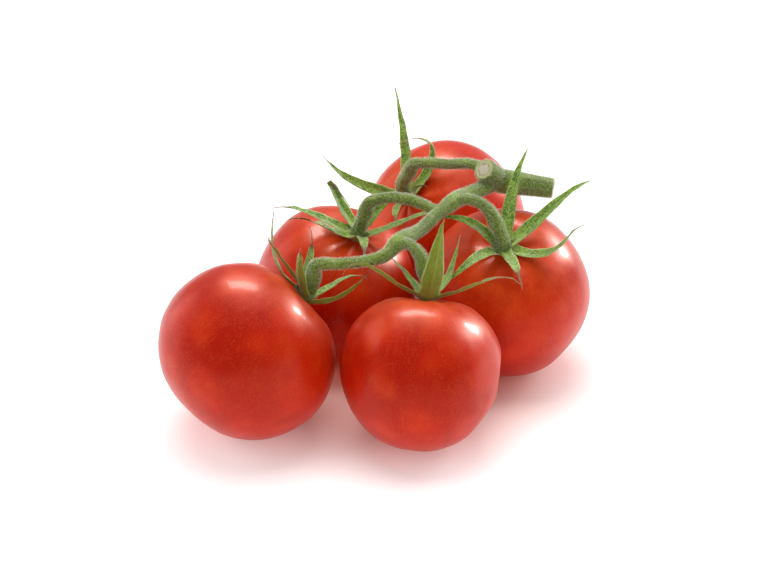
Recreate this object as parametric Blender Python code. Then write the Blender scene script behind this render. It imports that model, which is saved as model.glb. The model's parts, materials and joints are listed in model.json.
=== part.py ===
"""Truss of five ripe tomatoes on their cut vine, lying on a level surface.

Metres, +Z up, the front on the -Y side.  The tomatoes rest on the surface, the vine lies over
them, and each tomato hangs on by a stalk that ends in a ring of sepals.  Places in the
arrangement are given in mean fruit radii, so the bunch keeps its order when the fruit grows.
"""
import math
from itertools import combinations
from typing import NamedTuple

import bmesh
import bpy
from mathutils import Matrix, Vector
from mathutils.bvhtree import BVHTree

# ---------------------------------------------------------------- driving dimensions (metres)
FRUIT_RADIUS = 0.035        # mean radius of a tomato, across its stalk
TOP_HEIGHT = 0.94           # shoulder height over the middle, in fruit radii
BASE_HEIGHT = 0.96          # blossom end under the middle, in fruit radii
SHOULDER = 0.92             # below 1 fills out the shoulders, 1 is an ellipsoid
LOBE_DEPTH = 0.014          # swell and dip of the lobes round the fruit, in fruit radii
DIMPLE_DEPTH = 0.0032       # hollow in which the stalk sits
DIMPLE_SPREAD = 0.36        # radians from the stalk over which the hollow fades
RING_BIAS = 1.3             # gathers the rings of the mesh towards the stalk
FRUIT_SEGMENTS = 24
FRUIT_RINGS = 14
REST_DEPTH = 0.0004         # how far the soft skin flattens where a fruit rests

GAP = 0.0003                # clearance between pieces that meet
CONTACT_GAP = 0.0004        # clearance between two tomatoes that touch

PEDUNCLE_RADIUS = 0.0042    # thick stem by which the truss was cut from the plant
FORK_RADIUS = 0.0051        # the same stem where the rachis leaves it
STUB_RADIUS = 0.0047        # shoot beyond the fork, cut short
STUB_LENGTH = 0.0125
RACHIS_RADIUS = 0.0031      # stem that carries the stalks, up to its first knot
THIN_RACHIS_RADIUS = 0.0025  # the same stem beyond the first knot
KNOT_RADIUS = 0.0033        # swelling where a stalk leaves the rachis
BRANCH_RADIUS = 0.0021      # stalk of one tomato, between the rachis and its knee
STALK_RADIUS = 0.0026       # the same stalk below its knee
KNUCKLE_RADIUS = 0.0029     # swollen joint at which a tomato is picked
CALYX_RADIUS = 0.0029       # stalk's foot, which the sepals surround
KNUCKLE_DROP = 0.0050       # from a stalk's knee down to its knuckle
STEM_STEP = 0.0030          # spacing of the points along a stem
KNUCKLE_STRAIGHT = 0.0010   # straight run on each side of a knuckle

SEPAL_LENGTH = 0.035
SEPAL_WIDTH = 0.0054
SEPAL_ROOT_WIDTH = 0.0028
SEPAL_THICKNESS = 0.0009
SEPAL_CHANNEL = 0.28        # rise of the blade's edges, as a share of its half width
SEPAL_RINGS = 10
SEPAL_TAPER = 0.65          # below 1 keeps a blade broad for longer
FOLD_PLACE = 0.55           # where a folded sepal turns, as a share of its length
SEPAL_CLEARANCE = 0.0006    # least distance kept from fruit and stems
SEPAL_SPACING = 0.0010      # least distance kept from other sepals
SEPAL_ROOT_RISE = 0.0014    # height of a sepal's root over the stalk's foot
ROOT_SPACING = 50.0         # least angle between two sepals' roots, degrees


class Sepal(NamedTuple):
    heading: float          # degrees round the stalk
    length: float           # in SEPAL_LENGTH
    lift: float             # degrees above the shoulder at the root
    bow: float              # degrees of climb gained evenly up to the tip
    hook: float             # degrees of climb gained near the tip
    sway: float             # degrees of sideways turn gained by the tip
    width: float            # in SEPAL_WIDTH
    fold: float = 0.0       # degrees of climb gained at once, just past the middle


class Fruit(NamedTuple):
    name: str
    at: tuple               # place on the surface, in mean radii
    size: float             # its own radius, in mean radii
    axis: tuple             # from the middle towards the stalk
    tall: float             # height, as a share of the usual one
    lobes: int
    phase: float            # degrees
    taper: float            # above 0 is broader at the shoulders
    knee: tuple             # from the stalk's foot to the bend at its top, metres
    branch: tuple           # places the stalk passes before the knee, in mean radii
    sepals: tuple


FRUITS = (
    Fruit("front_left", (-1.59, -0.99), 1.055, (0.72, 0.35, 0.60), 0.97, 5, 40, -0.01,
          (0.0053, -0.0010, 0.0145), (),
          (Sepal(155, 1.20, -10, 85, -35, -15, 0.90),
           Sepal(-160, 1.00, 15, -20, 25, 95, 0.95),
           Sepal(-125, 0.89, 15, 30, -50, 35, 1.25),
           Sepal(-30, 0.89, 30, 105, -45, 0, 0.85),
           Sepal(35, 0.80, 80, -10, -95, 5, 0.80),
           Sepal(148, 0.89, 42, 30, -80, 5, 0.90))),
    Fruit("front_middle", (0.40, -1.29), 0.925, (0.08, 0.45, 0.89), 1.04, 6, 10, 0.045,
          (-0.0023, 0.0059, 0.0161), ((0.14, -0.51, 2.17), (0.28, -0.63, 2.20)),
          (Sepal(-150, 1.12, 15, 45, -180, -20, 0.90),
           Sepal(-80, 1.00, 45, 65, -50, 25, 1.65),
           Sepal(-20, 1.06, 15, 35, -120, 10, 0.95),
           Sepal(45, 0.86, 36, 75, -40, -5, 0.90),
           Sepal(135, 0.71, 45, -20, 20, 10, 0.90))),
    Fruit("back_left", (-0.63, 0.80), 0.975, (0.31, -0.26, 0.92), 1.0, 5, 75, 0.01,
          (0.0056, -0.0055, 0.0180), ((0.61, 0.12, 2.26), (0.29, 0.31, 2.32), (-0.05, 0.43, 2.28)),
          (Sepal(180, 1.03, 12, 10, -70, 10, 0.95),
           Sepal(-155, 1.00, 20, 30, -130, -30, 0.90),
           Sepal(-90, 0.83, 55, -85, -35, 5, 0.95),
           Sepal(-15, 1.28, 50, 15, -90, 10, 0.95),
           Sepal(50, 0.63, 65, -35, 70, -40, 0.90),
           Sepal(140, 1.05, 30, 15, 0, -10, 0.95, 150))),
    Fruit("right", (1.43, 0.49), 1.030, (-0.04, -0.45, 0.89), 1.0, 6, 25, 0.0,
          (-0.0059, 0.0002, 0.0169), ((0.80, 0.29, 2.31), (0.93, 0.23, 2.37), (1.11, 0.14, 2.36)),
          (Sepal(80, 1.16, 30, -5, 15, -30, 1.10),
           Sepal(35, 1.26, 15, 40, -75, -20, 1.10),
           Sepal(-20, 1.29, -5, 150, -135, 15, 0.90),
           Sepal(-75, 0.86, 35, -10, -50, -10, 0.90),
           Sepal(-135, 0.94, 50, -85, 15, -5, 1.00),
           Sepal(155, 0.83, 55, -70, -30, 25, 0.95))),
    Fruit("back", (0.76, 2.45), 1.020, (-0.55, -0.55, 0.63), 0.98, 5, 0, 0.0,
          (0.0017, -0.0133, 0.0222), ((1.33, 0.94, 2.32), (1.08, 1.09, 2.41), (0.75, 1.31, 2.32),
                                      (0.45, 1.51, 2.24)),
          (Sepal(80, 1.36, 15, 20, -30, 20, 1.05),
           Sepal(40, 1.36, -10, 150, 60, -25, 1.00),
           Sepal(165, 1.20, 48, -8, 10, -75, 1.00),
           Sepal(-90, 0.60, 80, -120, 80, 25, 0.90),
           Sepal(-15, 0.57, 65, -20, -200, 40, 0.90))),
)

# Route of the vine, in mean radii, with its radius there.
CUT_END = (2.01, 0.86, 2.21)
FORK = (1.37, 0.94, 2.27)
STUB_AIM = (-0.55, -0.50, 0.66)
RACHIS_ROUTE = (
    (FORK, RACHIS_RADIUS),
    ((1.03, 0.60, 2.27), RACHIS_RADIUS),
    ((0.80, 0.29, 2.31), KNOT_RADIUS),
    ((0.61, 0.06, 2.26), THIN_RACHIS_RADIUS),
    ((0.40, -0.20, 2.18), THIN_RACHIS_RADIUS),
    ((0.14, -0.51, 2.17), KNOT_RADIUS),
    ((-0.01, -0.66, 2.08), THIN_RACHIS_RADIUS),
    ((-0.25, -0.71, 2.03), BRANCH_RADIUS),
    ((-0.51, -0.71, 2.00), BRANCH_RADIUS),
)

# name: colour, roughness
FINISHES = {
    "tomato_skin": ((0.50, 0.012, 0.004, 1.0), 0.22),
    "vine_green": ((0.13, 0.15, 0.035, 1.0), 0.75),
    "sepal_green": ((0.11, 0.17, 0.025, 1.0), 0.65),
}


# ---------------------------------------------------------------- scene helpers
def clear_scene():
    for item in list(bpy.data.objects):
        bpy.data.objects.remove(item, do_unlink=True)


def finish(name):
    """The named material, made the first time it is asked for."""
    material = bpy.data.materials.get(name)
    if material:
        return material
    colour, roughness = FINISHES[name]
    material = bpy.data.materials.new(name)
    material.use_nodes = True
    shader = material.node_tree.nodes["Principled BSDF"]
    shader.inputs["Base Color"].default_value = colour
    shader.inputs["Roughness"].default_value = roughness
    shader.inputs["Metallic"].default_value = 0.0
    return material


def add_object(name, mesh, collection, root, material):
    piece = bpy.data.objects.new(name, mesh)
    collection.objects.link(piece)
    piece.parent = root
    mesh.materials.clear()
    mesh.materials.append(finish(material))
    mesh.shade_smooth()
    mesh.set_sharp_from_angle(angle=math.radians(60))
    return piece


def surface_tree(piece):
    """Search tree over a piece's faces, for keeping other pieces clear of it."""
    place = piece.matrix_basis
    corners = [place @ corner.co for corner in piece.data.vertices]
    faces = [tuple(face.vertices) for face in piece.data.polygons]
    return BVHTree.FromPolygons(corners, faces)


# ---------------------------------------------------------------- tomatoes
def skin_point(fruit, polar, turn):
    """Point of the skin in the fruit's own axes: Z runs up the stalk, the middle is the origin."""
    radius = fruit.size * FRUIT_RADIUS
    lobes = math.cos(fruit.lobes * turn + math.radians(fruit.phase)) * math.sin(polar) ** 2
    across = radius * math.sin(polar) ** SHOULDER
    across *= (1 + LOBE_DEPTH * lobes) * (1 + fruit.taper * math.cos(polar))
    height = TOP_HEIGHT if polar < math.pi / 2 else BASE_HEIGHT
    dimple = DIMPLE_DEPTH * math.exp(-(polar / DIMPLE_SPREAD) ** 2)
    return Vector((across * math.cos(turn), across * math.sin(turn),
                   radius * fruit.tall * height * math.cos(polar) - dimple))


def fruit_axes(fruit):
    """Rotation that turns the fruit's Z to its stalk and keeps its X towards the right."""
    up = Vector(fruit.axis).normalized()
    side = (Vector((1, 0, 0)) - up * up.x).normalized()
    return Matrix((side, up.cross(side), up)).transposed()


def fruit_shape(fruit):
    """The whole fruit in its own axes, as a mesh whose rings gather towards the stalk."""
    shape = bmesh.new()
    bmesh.ops.create_uvsphere(shape, u_segments=FRUIT_SEGMENTS, v_segments=FRUIT_RINGS, radius=1.0)
    for corner in shape.verts:
        share = math.acos(max(-1.0, min(1.0, corner.co.z))) / math.pi
        corner.co = skin_point(fruit, math.pi * share ** RING_BIAS,
                               math.atan2(corner.co.y, corner.co.x))
    return shape


def fruit_places():
    """Middle of each fruit: pushed apart on the surface until all clear, each resting on it."""
    spots = [Vector(fruit.at) * FRUIT_RADIUS for fruit in FRUITS]
    radii = [fruit.size * FRUIT_RADIUS * (1 + LOBE_DEPTH) for fruit in FRUITS]
    for _ in range(80):
        for one, two in combinations(range(len(FRUITS)), 2):
            apart = spots[two] - spots[one]
            short = radii[one] + radii[two] + CONTACT_GAP - apart.length
            if short > 0:
                spots[one] -= apart.normalized() * short / 2
                spots[two] += apart.normalized() * short / 2
    places = []
    for fruit, spot in zip(FRUITS, spots):
        shape = fruit_shape(fruit)
        lowest = min((fruit_axes(fruit) @ corner.co).z for corner in shape.verts)
        shape.free()
        places.append(Vector((spot.x, spot.y, -lowest - REST_DEPTH)))
    return places


def make_tomato(fruit, place, collection, root):
    """A tomato standing in its place, cut level where it rests."""
    shape = fruit_shape(fruit)
    turn = fruit_axes(fruit)
    floor_point = turn.inverted() @ -place
    floor_normal = turn.inverted() @ Vector((0, 0, 1))
    cut = bmesh.ops.bisect_plane(shape, geom=shape.verts[:] + shape.edges[:] + shape.faces[:],
                                 plane_co=floor_point, plane_no=floor_normal, clear_inner=True)
    rim = [item for item in cut["geom_cut"] if isinstance(item, bmesh.types.BMEdge)]
    bmesh.ops.contextual_create(shape, geom=rim)
    bmesh.ops.recalc_face_normals(shape, faces=shape.faces[:])
    mesh = bpy.data.meshes.new("tomato_" + fruit.name)
    shape.to_mesh(mesh)
    shape.free()
    tomato = add_object("tomato_" + fruit.name, mesh, collection, root, "tomato_skin")
    tomato.location = place
    tomato.rotation_euler = turn.to_euler()
    return tomato


# ---------------------------------------------------------------- stems
def smooth_route(keys, step):
    """Points on a smooth curve through the keys (x, y, z, radius), and where each key falls."""
    count = len(keys)
    spans = [(keys[i + 1] - keys[i]).xyz.length for i in range(count - 1)]
    slopes = []
    for i in range(count):
        back = (keys[i] - keys[i - 1]) / spans[i - 1] if i else None
        ahead = (keys[i + 1] - keys[i]) / spans[i] if i < count - 1 else None
        if back is None or ahead is None:
            slopes.append(ahead if back is None else back)
        else:
            share = spans[i - 1] / (spans[i - 1] + spans[i])
            slopes.append(back * (1 - share) + ahead * share)
    points, marks = [], []
    for i in range(count - 1):
        marks.append(len(points))
        pieces = max(1, round(spans[i] / step))
        for k in range(pieces):
            t = k / pieces
            ease = 3 * t ** 2 - 2 * t ** 3
            point = (keys[i] * (1 - ease) + keys[i + 1] * ease
                     + slopes[i] * spans[i] * (t ** 3 - 2 * t ** 2 + t)
                     + slopes[i + 1] * spans[i] * (t ** 3 - t ** 2))
            point.w = keys[i].w * (1 - ease) + keys[i + 1].w * ease
            points.append(point)
    marks.append(len(points))
    points.append(keys[-1])
    return points, marks


def tube_mesh(name, points, sides_step=2):
    """Round stem through points (x, y, z, radius), as one closed mesh."""
    data = bpy.data.curves.new(name, "CURVE")
    data.dimensions = "3D"
    data.bevel_depth = 1.0
    data.bevel_resolution = sides_step
    data.use_fill_caps = True
    spline = data.splines.new("POLY")
    spline.points.add(len(points) - 1)
    for target, source in zip(spline.points, points):
        target.co = (*source.xyz, 1.0)
        target.radius = source.w
    curve = bpy.data.objects.new(name, data)
    bpy.context.scene.collection.objects.link(curve)
    depsgraph = bpy.context.evaluated_depsgraph_get()
    mesh = bpy.data.meshes.new_from_object(curve.evaluated_get(depsgraph))
    bpy.data.objects.remove(curve, do_unlink=True)
    shape = bmesh.new()
    shape.from_mesh(mesh)
    bmesh.ops.remove_doubles(shape, verts=shape.verts[:], dist=0.00001)
    bmesh.ops.recalc_face_normals(shape, faces=shape.faces[:])
    shape.to_mesh(mesh)
    shape.free()
    return mesh


def united(name, meshes):
    """One mesh of all the given stems, joined where they meet."""
    whole = bpy.data.objects.new(name, meshes[0])
    bpy.context.scene.collection.objects.link(whole)
    for mesh in meshes[1:]:
        other = bpy.data.objects.new(mesh.name, mesh)
        bpy.context.scene.collection.objects.link(other)
        join = whole.modifiers.new("join", "BOOLEAN")
        join.operation = "UNION"
        join.solver = "EXACT"
        join.object = other
        depsgraph = bpy.context.evaluated_depsgraph_get()
        result = bpy.data.meshes.new_from_object(whole.evaluated_get(depsgraph))
        whole.modifiers.clear()
        whole.data = result
        bpy.data.objects.remove(other, do_unlink=True)
    result = whole.data
    bpy.data.objects.remove(whole, do_unlink=True)
    shape = bmesh.new()
    shape.from_mesh(result)
    bmesh.ops.remove_doubles(shape, verts=shape.verts[:], dist=0.00003)
    bmesh.ops.dissolve_degenerate(shape, edges=shape.edges[:], dist=0.00003)
    bmesh.ops.triangulate(shape, faces=shape.faces[:])
    shape.to_mesh(result)
    shape.free()
    return result


def key(place, radius):
    """A key of a stem's route, from a place in mean radii."""
    return Vector((*(Vector(place) * FRUIT_RADIUS), radius))


def seat_height(fruit):
    """Height of the stalk's foot over the fruit's middle, clear of the skin under it."""
    highest, ring = 0.0, 0.0
    while skin_point(fruit, ring, 0).xy.length < CALYX_RADIUS * 1.5:
        highest = max(highest, skin_point(fruit, ring, 0).z)
        ring += 0.01
    return highest + GAP


def stalk_keys(fruit, place):
    """Keys of one stalk from its knee to its foot, and the foot's place."""
    axis = fruit_axes(fruit).col[2]
    foot = place + axis * seat_height(fruit)
    rise = Vector(fruit.knee)
    knee = foot + rise
    neck = foot + axis * rise.length * 0.25 + rise * 0.25
    knuckle = knee + (neck - knee).normalized() * KNUCKLE_DROP
    keys = [Vector((*knee, STALK_RADIUS)),
            Vector((*knuckle, KNUCKLE_RADIUS)),
            Vector((*neck, STALK_RADIUS)),
            Vector((*(foot + axis * CALYX_RADIUS / 2), CALYX_RADIUS)),
            Vector((*foot, CALYX_RADIUS))]
    return keys, foot


def split_at_knuckle(points, mark):
    """The stem before and after a knuckle, with the picking gap square across it."""
    middle = points[mark]
    along = (points[mark + 1] - points[mark - 1]).xyz.normalized()

    def beside(distance):
        return Vector((*(middle.xyz + along * distance), middle.w))

    before = points[:mark] + [beside(-GAP / 2 - KNUCKLE_STRAIGHT), beside(-GAP / 2)]
    after = [beside(GAP / 2), beside(GAP / 2 + KNUCKLE_STRAIGHT)] + points[mark + 1:]
    return before, after


def make_vine(places, collection, root):
    """The vine in one piece up to the knuckles, and the five stalks beyond them."""
    fork = key(FORK, FORK_RADIUS)
    cut_end = key(CUT_END, PEDUNCLE_RADIUS)
    beyond = fork + (fork - cut_end) * 0.12
    beyond.w = PEDUNCLE_RADIUS * 0.8
    peduncle, _ = smooth_route([cut_end, fork, beyond], STEM_STEP * 2)
    aim = Vector(STUB_AIM).normalized()
    stub = [Vector((*(fork.xyz + aim * distance), STUB_RADIUS)) for distance in (0, STUB_LENGTH)]
    stems = [tube_mesh("peduncle", peduncle, 3), tube_mesh("stub", stub, 3)]
    stalks, feet = [], []
    for fruit, place in zip(FRUITS, places):
        keys, foot = stalk_keys(fruit, place)
        feet.append(foot)
        if fruit.branch:
            start = [key(spot, BRANCH_RADIUS) for spot in fruit.branch]
        else:
            start = [key(spot, radius) for spot, radius in RACHIS_ROUTE]
        points, marks = smooth_route(start + keys, STEM_STEP)
        before, after = split_at_knuckle(points, marks[len(start) + 1])
        stems.append(tube_mesh("branch_" + fruit.name, before))
        stalk = add_object("stalk_" + fruit.name, tube_mesh("stalk_" + fruit.name, after),
                           collection, root, "vine_green")
        stalks.append(stalk)
    vine = add_object("vine_stem", united("vine_stem", stems), collection, root, "vine_green")
    return vine, stalks, feet


# ---------------------------------------------------------------- sepals
def spread_roots(headings):
    """Root angles nearest to the headings that keep ROOT_SPACING round the stalk."""
    order = sorted(range(len(headings)), key=lambda i: headings[i] % 360)
    angles = [headings[i] % 360 for i in order]
    for _ in range(200):
        for i in range(len(angles)):
            j = (i + 1) % len(angles)
            lap = 360 if j == 0 else 0
            short = ROOT_SPACING - (angles[j] + lap - angles[i])
            if short > 0:
                angles[i] -= short / 2
                angles[j] += short / 2
    roots = [0.0] * len(headings)
    for i, angle in zip(order, angles):
        roots[i] = angle
    return roots


def sepal_rings(sepal, root_angle, foot, turn):
    """Middle, side and normal of the blade at each ring from root to tip."""
    length = sepal.length * SEPAL_LENGTH
    radial = Vector((math.cos(math.radians(root_angle)), math.sin(math.radians(root_angle)), 0))
    spot = radial * (CALYX_RADIUS + GAP + SEPAL_THICKNESS / 2) + Vector((0, 0, SEPAL_ROOT_RISE))
    side = Vector((-radial.y, radial.x, 0))
    rings = []
    for ring in range(SEPAL_RINGS + 1):
        share = ring / SEPAL_RINGS
        climb = math.radians(sepal.lift + sepal.bow * share + sepal.hook * share ** 4
                             + sepal.fold * (share > FOLD_PLACE))
        aim = math.radians(sepal.heading + sepal.sway * share ** 2)
        ahead = Vector((math.cos(climb) * math.cos(aim), math.cos(climb) * math.sin(aim),
                        math.sin(climb)))
        side = (side - ahead * side.dot(ahead)).normalized()
        rings.append((foot + turn @ spot, turn @ side, turn @ ahead.cross(side), share))
        spot = spot + ahead * length / SEPAL_RINGS
    return rings


def blade_ring(middle, side, normal, share, sepal):
    """Four corners of the blade: left edge, lower rib, right edge, upper rib."""
    full = sepal.width * SEPAL_WIDTH
    swell = min(1.0, share / 0.22)
    half = (SEPAL_ROOT_WIDTH + (full - SEPAL_ROOT_WIDTH) * swell) * (1 - share) ** SEPAL_TAPER / 2
    half = max(half, SEPAL_THICKNESS * 0.3)
    thick = SEPAL_THICKNESS * (1 - 0.6 * share) / 2
    edge = normal * half * SEPAL_CHANNEL
    return [middle - side * half + edge, middle - normal * thick,
            middle + side * half + edge, middle + normal * thick]


def push_from(corner, solids, blades):
    """The longest move that this corner needs to clear everything near it."""
    longest = Vector()
    for tree in solids:
        spot, normal, _, _ = tree.find_nearest(corner, 0.012)
        if spot is None:
            continue
        short = SEPAL_CLEARANCE - (corner - spot).dot(normal)
        if short > longest.length:
            longest = normal * short
    for tree in blades:
        spot, _, _, distance = tree.find_nearest(corner, SEPAL_SPACING)
        if spot is not None and SEPAL_SPACING - distance > longest.length:
            longest = (corner - spot).normalized() * (SEPAL_SPACING - distance)
    return longest


def cleared(rings, sepal, solids, blades):
    """The rings, eased off whatever they would touch."""
    shifts = [Vector() for _ in rings]
    for sweep in range(9):
        for i, (middle, side, normal, share) in enumerate(rings):
            corners = blade_ring(middle + shifts[i], side, normal, share, sepal)
            pushes = [push_from(corner, solids, blades) for corner in corners]
            shifts[i] += max(pushes, key=lambda push: push.length)
        if sweep < 6:
            eased = [shifts[0]]
            for i in range(1, len(shifts)):
                after = shifts[min(i + 1, len(shifts) - 1)]
                eased.append(shifts[i] * 0.5 + (shifts[i - 1] + after) * 0.25)
            shifts = eased
    return [(middle + shift, side, normal, share)
            for (middle, side, normal, share), shift in zip(rings, shifts)]


def make_sepal(name, sepal, rings, collection, root):
    """A blade lofted through its rings, closed at the root and drawn to a point."""
    origin = rings[0][0]
    shape = bmesh.new()
    loops = []
    for middle, side, normal, share in rings[:-1]:
        corners = blade_ring(middle - origin, side, normal, share, sepal)
        loops.append([shape.verts.new(corner) for corner in corners])
    tip = shape.verts.new(rings[-1][0] - origin)
    shape.faces.new(loops[0])
    for here, ahead in zip(loops, loops[1:]):
        for i in range(4):
            shape.faces.new((here[i], here[i - 1], ahead[i - 1], ahead[i]))
    for i in range(4):
        shape.faces.new((loops[-1][i], loops[-1][i - 1], tip))
    bmesh.ops.recalc_face_normals(shape, faces=shape.faces[:])
    bmesh.ops.triangulate(shape, faces=shape.faces[:])
    mesh = bpy.data.meshes.new(name)
    shape.to_mesh(mesh)
    shape.free()
    blade = add_object(name, mesh, collection, root, "sepal_green")
    blade.location = origin
    return blade


def make_sepals(feet, solids, collection, root):
    trees = [surface_tree(piece) for piece in solids]
    blades = []
    for fruit, foot in zip(FRUITS, feet):
        roots = spread_roots([sepal.heading for sepal in fruit.sepals])
        for number, (sepal, angle) in enumerate(zip(fruit.sepals, roots), 1):
            rings = sepal_rings(sepal, angle, foot, fruit_axes(fruit))
            rings = cleared(rings, sepal, trees, blades)
            name = "sepal_%s_%d" % (fruit.name, number)
            blades.append(surface_tree(make_sepal(name, sepal, rings, collection, root)))


# ---------------------------------------------------------------- the truss
def centre_on_origin(root):
    """Bring the middle of the bunch's underside to the origin."""
    bpy.context.view_layer.update()
    corners = [piece.matrix_world @ corner.co for piece in root.children
               for corner in piece.data.vertices]
    lows = [min(corner[i] for corner in corners) for i in range(3)]
    highs = [max(corner[i] for corner in corners) for i in range(3)]
    root.location = (-(lows[0] + highs[0]) / 2, -(lows[1] + highs[1]) / 2, -lows[2])


def main():
    clear_scene()
    collection = bpy.data.collections.new("truss_of_tomatoes")
    bpy.context.scene.collection.children.link(collection)
    root = bpy.data.objects.new("truss", None)
    collection.objects.link(root)
    places = fruit_places()
    tomatoes = [make_tomato(fruit, place, collection, root)
                for fruit, place in zip(FRUITS, places)]
    vine, stalks, feet = make_vine(places, collection, root)
    make_sepals(feet, [*tomatoes, vine, *stalks], collection, root)
    centre_on_origin(root)


main()
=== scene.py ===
"""Truss of five ripe tomatoes on their cut vine, lying on a pale surface.

The frame gives each piece's place.  The layout below repeats the bunch's own sizes in metres, so
that each fine piece lies where its plain solid does.
"""
import functools
import json
import math
import random
from itertools import combinations
from typing import NamedTuple

import bmesh
import bpy
import numpy as np
from bpy.props import FloatProperty, FloatVectorProperty, IntProperty, PointerProperty
from mathutils import Matrix, Quaternion, Vector, noise
from mathutils.bvhtree import BVHTree
from mathutils.kdtree import KDTree

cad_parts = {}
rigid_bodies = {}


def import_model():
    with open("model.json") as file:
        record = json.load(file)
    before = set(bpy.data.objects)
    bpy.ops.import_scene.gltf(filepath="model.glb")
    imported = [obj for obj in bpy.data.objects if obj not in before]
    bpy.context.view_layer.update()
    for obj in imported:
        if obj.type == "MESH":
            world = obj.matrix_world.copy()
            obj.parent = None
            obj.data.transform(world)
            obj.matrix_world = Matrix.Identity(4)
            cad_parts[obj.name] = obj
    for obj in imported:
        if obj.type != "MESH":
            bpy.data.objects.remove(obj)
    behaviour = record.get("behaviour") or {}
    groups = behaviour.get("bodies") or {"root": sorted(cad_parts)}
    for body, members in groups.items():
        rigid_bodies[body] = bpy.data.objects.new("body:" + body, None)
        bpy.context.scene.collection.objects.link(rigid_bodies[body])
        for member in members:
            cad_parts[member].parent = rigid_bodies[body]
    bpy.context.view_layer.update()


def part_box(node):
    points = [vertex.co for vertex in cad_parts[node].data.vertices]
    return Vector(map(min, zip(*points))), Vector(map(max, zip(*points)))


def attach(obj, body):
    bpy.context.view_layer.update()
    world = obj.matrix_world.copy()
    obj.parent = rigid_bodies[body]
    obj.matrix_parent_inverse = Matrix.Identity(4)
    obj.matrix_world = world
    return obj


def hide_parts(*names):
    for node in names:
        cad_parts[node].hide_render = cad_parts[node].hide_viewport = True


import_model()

bl_info = {
    "name": "Truss of Tomatoes",
    "version": (1, 0, 0),
    "blender": (4, 5, 0),
    "location": "3D View > Sidebar > Tomatoes",
    "description": "Makes a bunch of ripe tomatoes on the vine, with its sepals and fine hairs",
    "category": "Add Mesh",
}

# ---------------------------------------------------------------- sizes of the bunch (metres)
FRUIT_RADIUS = 0.035        # mean radius of a tomato, across its stalk
TOP_HEIGHT = 0.94           # shoulder height over the middle, in fruit radii
BASE_HEIGHT = 0.96          # blossom end under the middle, in fruit radii
SHOULDER = 0.92             # below 1 fills out the shoulders, 1 is an ellipsoid
LOBE_DEPTH = 0.014          # swell and dip of the lobes round the fruit, in fruit radii
DIMPLE_DEPTH = 0.0032       # hollow in which the stalk sits
DIMPLE_SPREAD = 0.36        # radians from the stalk over which the hollow fades
RING_BIAS = 1.3             # gathers the rings of the mesh towards the stalk
PLAIN_SEGMENTS = 24         # facets of the plain solid, round and down
PLAIN_RINGS = 14
REST_DEPTH = 0.0004         # how far the soft skin flattens where a fruit rests
GAP = 0.0003                # clearance between pieces that meet
CONTACT_GAP = 0.0004        # clearance between two tomatoes that touch

PEDUNCLE_RADIUS = 0.0042    # thick stem by which the truss was cut from the plant
FORK_RADIUS = 0.0051        # the same stem where the rachis leaves it
STUB_RADIUS = 0.0047        # shoot beyond the fork, cut short
STUB_LENGTH = 0.0125
RACHIS_RADIUS = 0.0031      # stem that carries the stalks, up to its first knot
THIN_RACHIS_RADIUS = 0.0025  # the same stem beyond the first knot
KNOT_RADIUS = 0.0033        # swelling where a stalk leaves the rachis
BRANCH_RADIUS = 0.0021      # stalk of one tomato, between the rachis and its knee
STALK_RADIUS = 0.0026       # the same stalk below its knee
KNUCKLE_RADIUS = 0.0029     # swollen joint at which a tomato is picked
CALYX_RADIUS = 0.0029       # stalk's foot, which the sepals surround
KNUCKLE_DROP = 0.0050       # from a stalk's knee down to its knuckle

SEPAL_LENGTH = 0.035
SEPAL_WIDTH = 0.0054
SEPAL_ROOT_WIDTH = 0.0028
SEPAL_THICKNESS = 0.0009
SEPAL_CHANNEL = 0.28        # rise of the blade's edges, as a share of its half width
SEPAL_RINGS = 10
SEPAL_TAPER = 0.65          # below 1 keeps a blade broad for longer
FOLD_PLACE = 0.55           # where a folded sepal turns, as a share of its length
SEPAL_CLEARANCE = 0.0006    # least distance kept from fruit and stems
SEPAL_SPACING = 0.0010      # least distance kept from other sepals
SEPAL_ROOT_RISE = 0.0014    # height of a sepal's root over the stalk's foot
ROOT_SPACING = 50.0         # least angle between two sepals' roots, degrees


class Sepal(NamedTuple):
    heading: float          # degrees round the stalk
    length: float           # in SEPAL_LENGTH
    lift: float             # degrees above the shoulder at the root
    bow: float              # degrees of climb gained evenly up to the tip
    hook: float             # degrees of climb gained near the tip
    sway: float             # degrees of sideways turn gained by the tip
    width: float            # in SEPAL_WIDTH
    dry: float              # share of the length that has withered, from the tip
    brown: float            # 0 is withered to pale straw, 1 to dark brown
    fold: float = 0.0       # degrees of climb gained at once, just past the middle


class Flat(NamedTuple):
    aim: tuple              # outward direction of the flattened side
    reach: float            # distance from the fruit's middle, in its radii


class Fruit(NamedTuple):
    name: str
    at: tuple               # place on the surface, in mean radii
    size: float             # its own radius, in mean radii
    axis: tuple             # from the middle towards the stalk
    tall: float             # height, as a share of the usual one
    lobes: int
    phase: float            # degrees
    taper: float            # above 0 is broader at the shoulders
    knee: tuple             # from the stalk's foot to the bend at its top, metres
    branch: tuple           # places the stalk passes before the knee, in mean radii
    pleats: float           # depth of the furrows round the stalk, 1 is deep
    flats: tuple            # sides pressed flat while it grew
    sepals: tuple


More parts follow.
